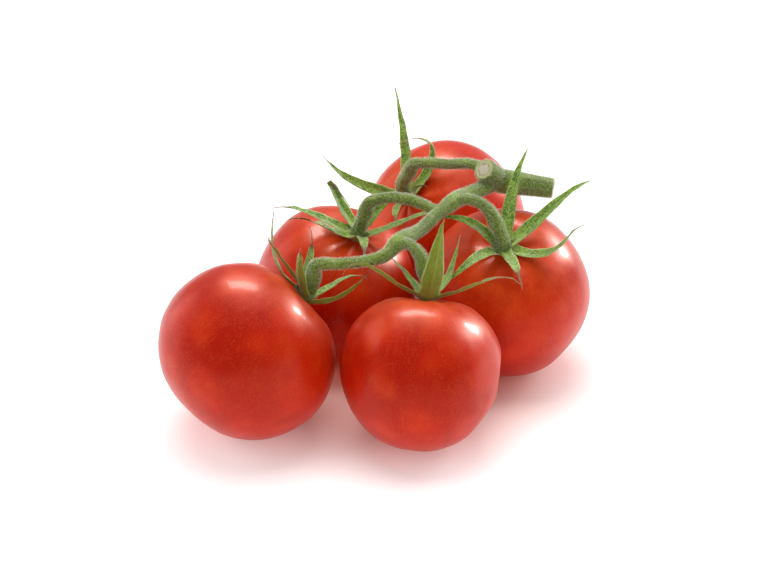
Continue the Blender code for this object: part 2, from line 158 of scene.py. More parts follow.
FRUITS = (
    Fruit("front_left", (-1.59, -0.99), 1.055, (0.72, 0.35, 0.60), 0.97, 5, 40, -0.01,
          (0.0053, -0.0010, 0.0145), (), 0.5,
          (Flat((-0.65, -0.36, -0.67), 0.955), Flat((-0.05, 0.45, 0.89), 0.97)),
          (Sepal(155, 1.20, -10, 85, -35, -15, 0.90, 0.20, 0.9),
           Sepal(-160, 1.00, 15, -20, 25, 95, 0.95, 0.40, 0.1),
           Sepal(-125, 0.89, 15, 30, -50, 35, 1.25, 0.25, 1.0),
           Sepal(-30, 0.89, 30, 105, -45, 0, 0.85, 0.30, 0.6),
           Sepal(35, 0.80, 80, -10, -95, 5, 0.80, 0.30, 0.15),
           Sepal(148, 0.89, 42, 30, -80, 5, 0.90, 0.40, 1.0))),
    Fruit("front_middle", (0.40, -1.29), 0.925, (0.08, 0.45, 0.89), 1.04, 6, 10, 0.045,
          (-0.0023, 0.0059, 0.0161), ((0.14, -0.51, 2.17), (0.28, -0.63, 2.20)), 0.85,
          (Flat((0.99, -0.05, -0.10), 0.965), Flat((0.81, -0.28, -0.52), 0.955)),
          (Sepal(-150, 1.12, 15, 45, -180, -20, 0.90, 0.25, 0.1),
           Sepal(-80, 1.00, 45, 65, -50, 25, 1.65, 0.08, 0.1),
           Sepal(-20, 1.06, 15, 35, -120, 10, 0.95, 0.40, 0.3),
           Sepal(45, 0.86, 36, 75, -40, -5, 0.90, 0.08, 0.1),
           Sepal(135, 0.71, 45, -20, 20, 10, 0.90, 0.08, 0.1))),
    Fruit("back_left", (-0.63, 0.80), 0.975, (0.31, -0.26, 0.92), 1.0, 5, 75, 0.01,
          (0.0056, -0.0055, 0.0180), ((0.61, 0.12, 2.26), (0.29, 0.31, 2.32), (-0.05, 0.43, 2.28)),
          1.0, (),
          (Sepal(180, 1.03, 12, 10, -70, 10, 0.95, 0.25, 0.5),
           Sepal(-155, 1.00, 20, 30, -130, -30, 0.90, 0.45, 0.8),
           Sepal(-90, 0.83, 55, -85, -35, 5, 0.95, 0.45, 0.8),
           Sepal(-15, 1.28, 50, 15, -90, 10, 0.95, 0.10, 0.6),
           Sepal(50, 0.63, 65, -35, 70, -40, 0.90, 0.05, 0.3),
           Sepal(140, 1.05, 30, 15, 0, -10, 0.95, 0.42, 0.8, 150))),
    Fruit("right", (1.43, 0.49), 1.030, (-0.04, -0.45, 0.89), 1.0, 6, 25, 0.0,
          (-0.0059, 0.0002, 0.0169), ((0.80, 0.29, 2.31), (0.93, 0.23, 2.37), (1.11, 0.14, 2.36)),
          1.0, (),
          (Sepal(80, 1.16, 30, -5, 15, -30, 1.10, 0.05, 0.3),
           Sepal(35, 1.26, 15, 40, -75, -20, 1.10, 0.05, 0.3),
           Sepal(-20, 1.29, -5, 150, -135, 15, 0.90, 0.22, 0.5),
           Sepal(-75, 0.86, 35, -10, -50, -10, 0.90, 0.40, 0.6),
           Sepal(-135, 0.94, 50, -85, 15, -5, 1.00, 0.12, 0.4),
           Sepal(155, 0.83, 55, -70, -30, 25, 0.95, 0.12, 0.4))),
    Fruit("back", (0.76, 2.45), 1.020, (-0.55, -0.55, 0.63), 0.98, 5, 0, 0.0,
          (0.0017, -0.0133, 0.0222), ((1.33, 0.94, 2.32), (1.08, 1.09, 2.41), (0.75, 1.31, 2.32),
                                      (0.45, 1.51, 2.24)),
          0.7, (),
          (Sepal(80, 1.36, 15, 20, -30, 20, 1.05, 0.05, 0.3),
           Sepal(40, 1.36, -10, 150, 60, -25, 1.00, 0.30, 0.1),
           Sepal(165, 1.20, 48, -8, 10, -75, 1.00, 0.20, 0.6),
           Sepal(-90, 0.60, 80, -120, 80, 25, 0.90, 0.35, 0.6),
           Sepal(-15, 0.57, 65, -20, -200, 40, 0.90, 0.35, 0.6))),
)

# Route of the vine, in mean radii, with its radius there.
CUT_END = (2.01, 0.86, 2.21)
FORK = (1.37, 0.94, 2.27)
STUB_AIM = (-0.55, -0.50, 0.66)
RACHIS_ROUTE = (
    (FORK, RACHIS_RADIUS),
    ((1.03, 0.60, 2.27), RACHIS_RADIUS),
    ((0.80, 0.29, 2.31), KNOT_RADIUS),
    ((0.61, 0.06, 2.26), THIN_RACHIS_RADIUS),
    ((0.40, -0.20, 2.18), THIN_RACHIS_RADIUS),
    ((0.14, -0.51, 2.17), KNOT_RADIUS),
    ((-0.01, -0.66, 2.08), THIN_RACHIS_RADIUS),
    ((-0.25, -0.71, 2.03), BRANCH_RADIUS),
    ((-0.51, -0.71, 2.00), BRANCH_RADIUS),
)
KNOTS = ((0.80, 0.29, 2.31), (0.14, -0.51, 2.17))   # where young growth shows as a pale collar


def tint(code):
    """Linear colour from the two-digit hex of its red, green and blue."""
    levels = [int(code[i:i + 2], 16) / 255 for i in (0, 2, 4)]
    return tuple(c / 12.92 if c <= 0.04045 else ((c + 0.055) / 1.055) ** 2.4 for c in levels)


# ---------------------------------------------------------------- settings a user would change
def length(text, default):
    return FloatProperty(name=text[0], description=text[1], default=default, min=0.0,
                         unit="LENGTH", precision=5)


def colour(text, default):
    return FloatVectorProperty(name=text[0], description=text[1], default=tint(default),
                               subtype="COLOR", size=3, min=0.0, max=1.0)


class TomatoSettings(bpy.types.PropertyGroup):
    red: colour(("Red", "Ripe skin"), "cc1e04")
    deep: colour(("Deep red", "Ripest patches of the skin"), "b81202")
    orange: colour(("Orange", "Shoulders and patches that ripened last"), "ec5616")
    fleck: colour(("Fleck", "Fine golden specks under the skin"), "f68a34")
    scar: colour(("Scar", "Corky mark at the blossom end"), "6b4526")
    furrow: length(("Furrow", "Depth of the deepest furrow round a stalk"), 0.0012)
    lump: length(("Lump", "Height of the soft swellings of the skin"), 0.00035)
    segments: IntProperty(name="Segments", description="Points round a fruit", default=192, min=24)
    rings: IntProperty(name="Rings", description="Rows of points down a fruit", default=132, min=12)


class StemSettings(bpy.types.PropertyGroup):
    green: colour(("Green", "Young stem"), "88a232")
    olive: colour(("Olive", "Older stem"), "6f8626")
    pale: colour(("Pale", "Streaks and collars"), "c3d292")
    pith: colour(("Pith", "Middle of a cut end"), "e8e0cc")
    grain: length(("Grain", "Size of the blocks that blend the stems"), 0.00034)
    ridge: length(("Ridge", "Height of the ridges along a stem"), 0.00010)


class SepalSettings(bpy.types.PropertyGroup):
    upper: colour(("Upper", "Face that looks up, between its specks"), "a2c350")
    speck: colour(("Speck", "Specks of the upper face"), "3f6a20")
    under: colour(("Under", "Face that looks down"), "7d8c08")
    straw: colour(("Straw", "Pale withered tip"), "c2a06c")
    brown: colour(("Brown", "Dark withered tip"), "3a241c")
    ripple: length(("Ripple", "Height of the waves of a blade's edge"), 0.00035)


class HairSettings(bpy.types.PropertyGroup):
    colour: colour(("Colour", "Hairs of stems and sepals"), "eef1da")
    length: length(("Length", "Longest hair of a stem"), 0.0011)
    thickness: length(("Thickness", "Width of a hair at its root"), 0.00011)
    density: FloatProperty(name="Density", description="Hairs on a square metre of stem",
                           default=6.5e6, min=0.0)
    seed: IntProperty(name="Seed", description="Changes where hairs grow", default=7)


class StageSettings(bpy.types.PropertyGroup):
    floor: colour(("Floor", "Surface under the bunch"), "f6f6f6")
    lens: FloatProperty(name="Lens", description="Focal length for a 36 mm sensor, millimetres",
                        default=111.9, min=10.0)
    elevation: FloatProperty(name="Elevation", description="Camera's height over the horizon",
                             default=math.radians(28), subtype="ANGLE")
    distance: length(("Distance", "From the camera to the bunch"), 1.0)


# ---------------------------------------------------------------- node graphs
class Wire:
    """An output socket of a graph; arithmetic on it adds Math nodes."""

    def __init__(self, graph, socket):
        self.graph = graph
        self.socket = socket

    def reckon(self, operation, *values):
        return self.graph.node("ShaderNodeMath", {"operation": operation}, dict(enumerate(values)))

    def __add__(self, other):
        return self.reckon("ADD", self, other)

    def __sub__(self, other):
        return self.reckon("SUBTRACT", self, other)

    def __rsub__(self, other):
        return self.reckon("SUBTRACT", other, self)

    def __mul__(self, other):
        return self.reckon("MULTIPLY", self, other)

    def __truediv__(self, other):
        return self.reckon("DIVIDE", self, other)

    def __pow__(self, other):
        return self.reckon("POWER", self, other)

    __radd__ = __add__
    __rmul__ = __mul__

    def within(self, low, high):
        """0 below low, 1 above high and smooth between; the other way round if low is higher."""
        down = low > high
        ends = {1: high, 2: low, 3: 1.0, 4: 0.0} if down else {1: low, 2: high, 3: 0.0, 4: 1.0}
        return self.graph.node("ShaderNodeMapRange", {"interpolation_type": "SMOOTHSTEP"},
                               {0: self, **ends})


class Graph:
    """A node tree that is written from the inputs to the output."""

    def __init__(self, tree):
        self.tree = tree
        tree.nodes.clear()

    def node(self, kind, settings=None, sockets=None, out=0):
        """Adds a node: its settings first, then its sockets' values or links."""
        made = self.tree.nodes.new(kind)
        for name, value in (settings or {}).items():
            if name == "stops":
                ramp = made.color_ramp.elements
                while len(ramp) < len(value):
                    ramp.new(0.5)
                for stop, (place, shade) in zip(ramp, value):
                    stop.position = place
                    stop.color = (*shade, 1.0)
            else:
                setattr(made, name, value)
        for name, value in (sockets or {}).items():
            socket = made.inputs[name]
            if isinstance(value, Wire):
                self.tree.links.new(value.socket, socket)
            elif socket.type == "RGBA":
                socket.default_value = (*value, 1.0)
            else:
                socket.default_value = value
        return Wire(self, made.outputs[out]) if made.outputs else made

    def attribute(self, name):
        return self.node("ShaderNodeAttribute", {"attribute_name": name}, out="Vector")

    def place(self):
        return self.node("ShaderNodeTexCoord", out="Object")

    def parts(self, vector):
        """The three numbers of a vector."""
        split = self.node("ShaderNodeSeparateXYZ", None, {0: vector})
        return [Wire(self, socket) for socket in split.socket.node.outputs]

    def vector(self, x, y, z):
        return self.node("ShaderNodeCombineXYZ", None, {0: x, 1: y, 2: z})

    def cloud(self, vector, scale, detail=3.0, rough=0.5):
        """Soft noise about one half."""
        return self.node("ShaderNodeTexNoise", {"noise_dimensions": "3D"},
                         {"Vector": vector, "Scale": scale, "Detail": detail, "Roughness": rough})

    def mix(self, share, one, two):
        return self.node("ShaderNodeMix", {"data_type": "RGBA"}, {0: share, 6: one, 7: two}, out=2)

    def coated(self, base, *coats):
        """The base colour under its coats (share, colour), the last one on top."""
        for share, coat in coats:
            base = self.mix(share, base, coat)
        return base

    def bump(self, height, distance, strength):
        return self.node("ShaderNodeBump", None,
                         {"Height": height, "Distance": distance, "Strength": strength})


def surface(name, paint):
    """Material whose look the paint function gives as Principled sockets."""
    material = bpy.data.materials.new(name)
    material.use_nodes = True
    graph = Graph(material.node_tree)
    shader = graph.node("ShaderNodeBsdfPrincipled", None, paint(graph))
    graph.node("ShaderNodeOutputMaterial", None, {"Surface": shader})
    return material


def tomato_skin(graph):
    """Glossy ripe skin: deep and orange reds in soft patches, streaked and flecked with gold."""
    look = bpy.context.scene.tomato_look
    own = graph.attribute("own")
    x, y, z = graph.parts(own)
    round_it = graph.node("ShaderNodeVectorMath", {"operation": "NORMALIZE"},
                          {0: graph.vector(x, y, 0.0)})
    rx, ry, _ = graph.parts(round_it)
    patches = graph.cloud(own, 1.6, 2.0)
    mottle = graph.cloud(own, 9.0, 4.0, 0.6)
    streaks = graph.cloud(graph.vector(rx * 16.0, ry * 16.0, z * 2.2), 1.0, 4.0, 0.65)
    grain = graph.cloud(own, 55.0, 2.0, 0.7)
    away = 1.0 - z.within(0.82, 0.97)
    shoulder = z.within(0.35, 0.95) * (0.10 + mottle * 0.65)
    belly = graph.cloud(own, 2.3, 1.0).within(0.46, 0.84) * 0.28
    specks = grain.within(0.46, 0.66) * mottle.within(0.25, 0.60)
    across = (x * x + y * y) ** 0.5
    scar = across.within(0.055, 0.02) * z.within(-0.5, -0.8)
    halo = across.within(0.20, 0.08) * z.within(0.3, 0.6) * 0.45
    skin = graph.coated(look.deep,
                        (patches.within(0.38, 0.62), look.red),
                        (shoulder + belly * away, look.orange),
                        (streaks.within(0.50, 0.72) * away * 0.10, look.orange),
                        (specks * 0.13, look.fleck),
                        (streaks.within(0.45, 0.25) * away * 0.15, look.deep),
                        (halo, look.orange),
                        (scar, look.scar))
    relief = graph.cloud(own, 30.0, 3.0, 0.6) * 0.75 + grain * 0.25
    return {"Base Color": skin,
            "Roughness": 0.34 + mottle * 0.10 + scar * 0.4,
            "IOR": 1.42,
            "Specular Tint": (1.0, 0.34, 0.20),
            "Coat Weight": 0.15,
            "Coat Roughness": 0.14,
            "Coat IOR": 1.40,
            "Subsurface Weight": 0.05,
            "Subsurface Radius": (1.0, 0.06, 0.02),
            "Subsurface Scale": 0.003,
            "Normal": graph.bump(relief, 0.00008, 0.25)}


def stem_skin(graph):
    """Green stem, grainy and streaked along its length, paler at its collars and cut ends."""
    look = bpy.context.scene.stem_look
    around, along, cut = graph.parts(graph.attribute("stem"))
    collar, foot, _ = graph.parts(graph.attribute("marks"))
    place = graph.place()
    turn = graph.vector(around.reckon("COSINE", around) * 2.5,
                        around.reckon("SINE", around) * 2.5, along * 160.0)
    streaks = graph.cloud(turn, 1.3, 4.0, 0.6)
    grain = graph.cloud(place, 1700.0, 3.0, 0.7)
    patches = graph.cloud(place, 110.0, 2.0)
    bark = graph.coated(look.olive,
                        (patches.within(0.40, 0.62), look.green),
                        (streaks.within(0.50, 0.72) * 0.25, look.pale),
                        (grain.within(0.52, 0.38) * 0.75, tint("2f4c14")),
                        (grain.within(0.55, 0.66) * 0.55, look.pale),
                        (collar.within(0.30, 0.80) * 0.75, tint("9cc028")),
                        (foot * 0.45, tint("8aa742")))
    cut = cut + (graph.cloud(place, 700.0, 3.0, 0.6) - 0.5) * 0.5
    rings = ((0.0, look.pith), (0.46, look.pith), (0.56, tint("a58f5a")),
             (0.66, tint("dbdab0")), (0.84, tint("c6cd8c")), (1.0, tint("6f8038")))
    face = graph.node("ShaderNodeValToRGB", {"stops": rings}, {0: cut})
    face = graph.mix(graph.cloud(place, 1900.0, 2.0).within(0.35, 0.6) * 0.35, face, tint("97824f"))
    bark = graph.mix(cut.within(1.30, 1.10), bark, face)
    relief = grain * 0.6 + streaks * 0.4
    return {"Base Color": bark,
            "Roughness": 0.62 + grain * 0.25,
            "IOR": 1.4,
            "Subsurface Weight": 0.08,
            "Subsurface Radius": (0.6, 1.0, 0.2),
            "Subsurface Scale": 0.0012,
            "Sheen Weight": 0.25,
            "Sheen Roughness": 0.4,
            "Normal": graph.bump(relief, 0.00020, 0.7)}


def sepal_skin(graph):
    """Leafy sepal: specked above, smooth olive below, pale at its margin and withered at its tip."""
    look = bpy.context.scene.sepal_look
    across, along, under = graph.parts(graph.attribute("blade"))
    dry, brown, shift = graph.parts(graph.attribute("wither"))
    place = graph.place()
    edge = across.reckon("ABSOLUTE", across)
    specks = graph.cloud(place, 1500.0, 2.0, 0.6)
    blotch = graph.cloud(place, 330.0, 3.0)
    veins = graph.cloud(graph.vector(across * 3.0, along * 9.0, shift), 2.0, 3.0)
    upper = graph.coated(look.upper,
                         (specks.within(0.46, 0.56) * 0.9, look.speck),
                         (blotch.within(0.46, 0.68) * 0.5, look.speck))
    lower = graph.coated(look.under,
                         (blotch.within(0.35, 0.65) * 0.6, tint("8a9a1c")),
                         (specks.within(0.54, 0.72) * 0.35, tint("4a5f0c")))
    withered = graph.coated(look.straw, (brown, look.brown),
                            (blotch.within(0.40, 0.62) * 0.45, tint("6b4a2f")))
    leaf = graph.coated(upper,
                        (under.within(0.45, 0.55), lower),
                        (veins.within(0.54, 0.70) * 0.25, tint("a9bd63")),
                        (edge.within(0.14, 0.03) * 0.40, tint("a9c060")),
                        (edge.within(0.82, 0.97) * 0.75, tint("cdd68a")),
                        (along.within(0.22, 0.02) * 0.55, tint("a8c04e")),
                        (dry, withered))
    relief = specks * 0.45 + veins * 0.55
    return {"Base Color": leaf,
            "Roughness": 0.50 + specks * 0.25,
            "IOR": 1.4,
            "Subsurface Weight": 0.12,
            "Subsurface Radius": (0.5, 1.0, 0.1),
            "Subsurface Scale": 0.0008,
            "Sheen Weight": 0.15,
            "Sheen Roughness": 0.4,
            "Normal": graph.bump(relief, 0.00018, 0.8)}


def hair_fibre(graph):
    """Short pale hairs."""
    place = graph.place()
    shade = graph.cloud(place, 260.0, 1.0).within(0.35, 0.65)
    return {"Base Color": graph.mix(shade, bpy.context.scene.hair_look.colour, tint("d3dcae")),
            "Roughness": 0.45,
            "Sheen Weight": 0.3}


def floor_paint(graph):
    """Pale matt surface that gives off painted light, white beyond the bunch and dim red near the
    fruit, and whose colour turns red near the fruit as a painted reddish shadow with red bounce
    light.
    """
    place = graph.place()
    x, y, _ = graph.parts(place)
    away = (x * x + y * y) ** 0.5
    shade = graph.cloud(place, 6.0, 2.0).within(0.3, 0.7) * 0.02
    floor = bpy.context.scene.stage_look.floor
    # painted shadow: the floor's colour turns red near the fruit, painted reddish shade with red
    # bounce light from the tomatoes
    floor = graph.mix(away.within(0.06, 0.108), (0.90, 0.66, 0.61), floor)
    # painted light: the floor gives off white light beyond the bunch and only dim red light near the
    # fruit, painted shade with red bounce light
    painted_floor_light = graph.mix(away.within(0.045, 0.108), (0.20, 0.035, 0.01), (1.0, 0.97, 0.96))
    return {"Base Color": graph.mix(shade, floor, tint("f0f0f0")),
            "Emission Color": painted_floor_light,
            "Emission Strength": 0.42,
            "Roughness": 0.6,
            "Specular IOR Level": 0.1}


def material_of(name, paint):
    """The named material, made the first time it is asked for."""
    return bpy.data.materials.get(name) or surface(name, paint)


# ---------------------------------------------------------------- meshes and pieces
def set_attribute(mesh, name, values):
    """Three numbers for each point, which the materials read."""
    layer = mesh.attributes.new(name, "FLOAT_VECTOR", "POINT")
    layer.data.foreach_set("vector", np.asarray(values, np.float32).ravel())


def rows_of(layer, field):
    """Three numbers for each point, read from a layer of a mesh."""
    flat = np.zeros(len(layer) * 3, np.float32)
    layer.foreach_get(field, flat)
    return flat.reshape(-1, 3).astype(float)


def lofted(name, rows, first, last):
    """Closed mesh through rows of points, each row a loop, narrowing to a point at both ends."""
    count, width = len(rows), len(rows[0])
    points = [first, *[point for row in rows for point in row], last]
    faces = []
    for i in range(count - 1):
        low, high = 1 + i * width, 1 + (i + 1) * width
        for j in range(width):
            k = (j + 1) % width
            faces.append((low + j, low + k, high + k, high + j))
    end = len(points) - 1
    start = end - width
    for j in range(width):
        k = (j + 1) % width
        faces.append((0, 1 + k, 1 + j))
        faces.append((end, start + j, start + k))
    mesh = bpy.data.meshes.new(name)
    mesh.from_pydata([tuple(point) for point in points], [], faces)
    shape = bmesh.new()
    shape.from_mesh(mesh)
    bmesh.ops.recalc_face_normals(shape, faces=shape.faces[:])
    shape.to_mesh(mesh)
    shape.free()
    return mesh


def evaluated_mesh(obj):
    """What the object's modifiers make, as a plain mesh; the object goes."""
    depsgraph = bpy.context.evaluated_depsgraph_get()
    mesh = bpy.data.meshes.new_from_object(obj.evaluated_get(depsgraph))
    bpy.data.objects.remove(obj, do_unlink=True)
    return mesh


def loose_object(name, data):
    obj = bpy.data.objects.new(name, data)
    bpy.context.scene.collection.objects.link(obj)
    return obj


def add_piece(name, mesh, material, slot, *nodes):
    """A finished piece of the bunch, which stands for its plain solids."""
    piece = loose_object(name, mesh)
    mesh.materials.clear()
    mesh.materials.append(material)
    mesh.shade_smooth()
    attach(piece, "root")
    if nodes:
        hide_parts(*nodes)
    return piece


def search_tree(piece):
    return BVHTree.FromPolygons([corner.co for corner in piece.data.vertices],
                                [tuple(face.vertices) for face in piece.data.polygons])


# ---------------------------------------------------------------- tomatoes
def skin(fruit, polar, turn):
    """Points of the plain skin in the fruit's own axes: Z runs up the stalk."""
    radius = fruit.size * FRUIT_RADIUS
    lobes = np.cos(fruit.lobes * turn + math.radians(fruit.phase)) * np.sin(polar) ** 2
    across = radius * np.abs(np.sin(polar)) ** SHOULDER
    across = across * (1 + LOBE_DEPTH * lobes) * (1 + fruit.taper * np.cos(polar))
    height = np.where(polar < math.pi / 2, TOP_HEIGHT, BASE_HEIGHT)
    dimple = DIMPLE_DEPTH * np.exp(-(polar / DIMPLE_SPREAD) ** 2)
    return np.stack([across * np.cos(turn), across * np.sin(turn),
                     radius * fruit.tall * height * np.cos(polar) - dimple], axis=-1)


def fruit_axes(fruit):
    """Rotation that turns the fruit's Z to its stalk and keeps its X towards the right."""
    up = Vector(fruit.axis).normalized()
    side = (Vector((1, 0, 0)) - up * up.x).normalized()
    return Matrix((side, up.cross(side), up)).transposed()


def plain_corners(fruit):
    """Corners of the fruit's plain solid about its middle, turned as it lies."""
    shape = bmesh.new()
    bmesh.ops.create_uvsphere(shape, u_segments=PLAIN_SEGMENTS, v_segments=PLAIN_RINGS, radius=1.0)
    corners = np.array([tuple(corner.co) for corner in shape.verts])
    shape.free()
    share = np.arccos(np.clip(corners[:, 2], -1.0, 1.0)) / math.pi
    turn = np.arctan2(corners[:, 1], corners[:, 0])
    return skin(fruit, math.pi * share ** RING_BIAS, turn) @ np.array(fruit_axes(fruit)).T


@functools.lru_cache(maxsize=None)
def layout():
    """Middle of each fruit in the frame, and the shift from the bunch's own origin to it."""
    spots = [Vector(fruit.at) * FRUIT_RADIUS for fruit in FRUITS]
    radii = [fruit.size * FRUIT_RADIUS * (1 + LOBE_DEPTH) for fruit in FRUITS]
    for _ in range(80):
        for one, two in combinations(range(len(FRUITS)), 2):
            apart = spots[two] - spots[one]
            short = radii[one] + radii[two] + CONTACT_GAP - apart.length
            if short > 0:
                spots[one] -= apart.normalized() * short / 2
                spots[two] += apart.normalized() * short / 2
    lows = [Vector(plain_corners(fruit).min(axis=0)) for fruit in FRUITS]
    corner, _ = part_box("tomato_" + FRUITS[0].name)
    shift = Vector((corner.x - lows[0].x - spots[0].x, corner.y - lows[0].y - spots[0].y, 0.0))
    places = [Vector((spot.x, spot.y, -low.z - REST_DEPTH)) + shift
              for spot, low in zip(spots, lows)]
    return places, shift


FURROWS = 8                 # furrows round a stalk
SCAR_SINK = 0.0008          # depth of the blossom end's scar
PRESS_SOFTNESS = 0.012      # rounding of a flattened side's edge, in fruit radii


def furrows(fruit, polar, turn, depth):
    """How far the skin sinks in the furrows that run out from the stalk."""
    pick = random.Random("furrows " + fruit.name)
    sink = np.zeros_like(polar)
    for k in range(FURROWS):
        middle = 2 * math.pi * (k + pick.uniform(-0.40, 0.40)) / FURROWS
        width = math.radians(pick.uniform(9, 17))
        reach = pick.uniform(0.50, 1.05)
        deep = pick.uniform(0.30, 1.0)
        bend = pick.uniform(-0.25, 0.25)
        off = (turn - middle - bend * polar + math.pi) % (2 * math.pi) - math.pi
        fade = np.clip((reach - polar) / (reach * 0.7), 0, 1) ** 1.5 * np.clip(polar / 0.16, 0, 1)
        sink += deep * fade * (np.exp(-(off / width) ** 2) - 0.35 * np.exp(-(off / width / 2) ** 2))
    return sink * depth * fruit.pleats


def pressed(points, middle_reach, aim, softness):
    """The points with the side that faces aim pressed flat."""
    height = points @ aim
    flat = -softness * np.logaddexp(-height / softness, -middle_reach / softness)
    return points + np.outer(np.where(height > 0, flat - height, 0.0), aim)


def tomato_mesh(fruit, place, look):
    """The fine skin of one tomato, resting on the surface."""
    radius = fruit.size * FRUIT_RADIUS
    share = np.arange(1, look.rings) / look.rings
    polar, turn = np.meshgrid(math.pi * share ** RING_BIAS,
                              np.arange(look.segments) * 2 * math.pi / look.segments,
                              indexing="ij")
    ends = skin(fruit, np.array([0.0, math.pi]), np.zeros(2))
    own = np.concatenate([ends[:1], skin(fruit, polar, turn).reshape(-1, 3), ends[1:]])
    polar = np.concatenate([[0.0], polar.ravel(), [math.pi]])
    turn = np.concatenate([[0.0], turn.ravel(), [0.0]])
    out = own / np.linalg.norm(own, axis=1, keepdims=True)
    offset = Vector((place.x, place.y, fruit.size)) * 40
    lumps = np.array([noise.noise(Vector(point) * 2.1 + offset)
                      + noise.noise(Vector(point) * 4.6 + offset) * 0.45 for point in out])
    calm = np.clip(polar / 0.25, 0, 1)
    lift = lumps * look.lump * calm - furrows(fruit, polar, turn, look.furrow)
    scar = np.exp(-((math.pi - polar) / 0.09) ** 2) * SCAR_SINK
    turned = (own + out * (lift - scar)[:, None]) @ np.array(fruit_axes(fruit)).T
    for flat in fruit.flats:
        aim = np.array(Vector(flat.aim).normalized())
        turned = pressed(turned, radius * flat.reach, aim, radius * PRESS_SOFTNESS)
    world = turned + np.array(place)
    world[:, 2] = np.maximum(world[:, 2], 0.0)
    rows = world[1:-1].reshape(look.rings - 1, look.segments, 3)
    mesh = lofted("tomato_skin_" + fruit.name, rows, world[0], world[-1])
    set_attribute(mesh, "own", own / radius)
    return mesh


# ---------------------------------------------------------------- stems
def smooth_route(keys, step):
    """Points on a smooth curve through the keys (x, y, z, radius), and where each key falls."""
    count = len(keys)
    spans = [(keys[i + 1] - keys[i]).xyz.length for i in range(count - 1)]
    slopes = []
    for i in range(count):
        back = (keys[i] - keys[i - 1]) / spans[i - 1] if i else None
        ahead = (keys[i + 1] - keys[i]) / spans[i] if i < count - 1 else None
        if back is None or ahead is None:
            slopes.append(ahead if back is None else back)
        else:
            share = spans[i - 1] / (spans[i - 1] + spans[i])
            slopes.append(back * (1 - share) + ahead * share)
    points, marks = [], []
    for i in range(count - 1):
        marks.append(len(points))
        pieces = max(1, round(spans[i] / step))
        for k in range(pieces):
            t = k / pieces
            ease = 3 * t ** 2 - 2 * t ** 3
            point = (keys[i] * (1 - ease) + keys[i + 1] * ease
                     + slopes[i] * spans[i] * (t ** 3 - 2 * t ** 2 + t)
                     + slopes[i + 1] * spans[i] * (t ** 3 - t ** 2))
            point.w = keys[i].w * (1 - ease) + keys[i + 1].w * ease
            points.append(point)
    marks.append(len(points))
    points.append(keys[-1])
    return points, marks


def key(place, radius):
    """A key of a stem's route, from a place in mean radii."""
    _, shift = layout()
    return Vector((*(Vector(place) * FRUIT_RADIUS + shift), radius))


def seat_height(fruit):
    """Height of the stalk's foot over the fruit's middle, clear of the skin under it."""
    rings = np.arange(0.0, 0.6, 0.01)
    points = skin(fruit, rings, np.zeros_like(rings))
    under = np.hypot(points[:, 0], points[:, 1]) < CALYX_RADIUS * 1.5
    return points[under, 2].max() + GAP


def foot_of(fruit, place):
    return place + fruit_axes(fruit).col[2] * seat_height(fruit)


def stalk_keys(fruit, place):
    """Keys of one stalk from its knee to its foot."""
    axis = fruit_axes(fruit).col[2]
    foot = foot_of(fruit, place)
    rise = Vector(fruit.knee)
    knee = foot + rise
    neck = foot + axis * rise.length * 0.25 + rise * 0.25
    knuckle = knee + (neck - knee).normalized() * KNUCKLE_DROP
    return [Vector((*knee, STALK_RADIUS)),
            Vector((*knuckle, KNUCKLE_RADIUS)),
            Vector((*neck, STALK_RADIUS)),
            Vector((*(foot + axis * CALYX_RADIUS / 2), CALYX_RADIUS)),
            Vector((*foot, CALYX_RADIUS))]


FINE_STEP = 0.0006          # spacing of the points along a fine stem
FOOT_GRAIN = 0.7            # size of the blocks in a stalk, as a share of the vine's
COLLAR_REACH = 0.0056       # how far young growth shows round a collar
FOOT_REACH = 0.0052         # how far a stalk's paler foot shows
KNUCKLE_SWELL = 0.00045     # extra radius about a knuckle, and the groove at its middle
KNUCKLE_GROOVE = 0.0006


def stem_runs():
    """Runs of points (x, y, z, radius): the vine's, up to the knuckles, and the stalks' beyond."""
    fork = key(FORK, FORK_RADIUS)
    cut_end = key(CUT_END, PEDUNCLE_RADIUS)
    beyond = fork + (fork - cut_end) * 0.12
    beyond.w = PEDUNCLE_RADIUS * 0.8
    peduncle, _ = smooth_route([cut_end, fork, beyond], FINE_STEP)
    aim = Vector(STUB_AIM).normalized()
    stub = [Vector((*(fork.xyz + aim * STUB_LENGTH * k / 20), STUB_RADIUS)) for k in range(21)]
    vine, stalks = [peduncle, stub], []
    places, _ = layout()
    for fruit, place in zip(FRUITS, places):
        if fruit.branch:
            start = [key(spot, BRANCH_RADIUS) for spot in fruit.branch]
        else:
            start = [key(spot, radius) for spot, radius in RACHIS_ROUTE]
        points, marks = smooth_route(start + stalk_keys(fruit, place), FINE_STEP)
        joint = marks[len(start) + 1]
        middle = points[joint].xyz
        swollen = []
        for point in points:
            off = (point.xyz - middle).length
            point = point.copy()
            point.w += (KNUCKLE_SWELL * math.exp(-(off / 0.0016) ** 2)
                        - KNUCKLE_GROOVE * math.exp(-(off / 0.00035) ** 2))
            swollen.append(point)
        vine.append(swollen[:joint + 1])
        stalks.append(swollen[joint:])
    return vine, stalks


def new_tree(name, *inputs):
    """An empty geometry tree: its graph, and a wire from each input (name, kind, default)."""
    tree = bpy.data.node_groups.new(name, "GeometryNodeTree")
    for title, kind, default in (("Geometry", "Geometry", None), *inputs,
                                 ("Material", "Material", None)):
        socket = tree.interface.new_socket(title, in_out="INPUT", socket_type="NodeSocket" + kind)
        if default is not None:
            socket.default_value = default
    tree.interface.new_socket("Geometry", in_out="OUTPUT", socket_type="NodeSocketGeometry")
    graph = Graph(tree)
    given = graph.node("NodeGroupInput").socket.node.outputs
    return graph, [Wire(graph, socket) for socket in given if socket.name]


def end_tree(graph, geometry, finish):
    """Ends a tree: its instances made real, in the material that is given."""
    whole = graph.node("GeometryNodeRealizeInstances", None, {"Geometry": geometry})
    done = graph.node("GeometryNodeSetMaterial", None, {"Geometry": whole, "Material": finish})
    graph.node("NodeGroupOutput", None, {"Geometry": done})
    return graph.tree


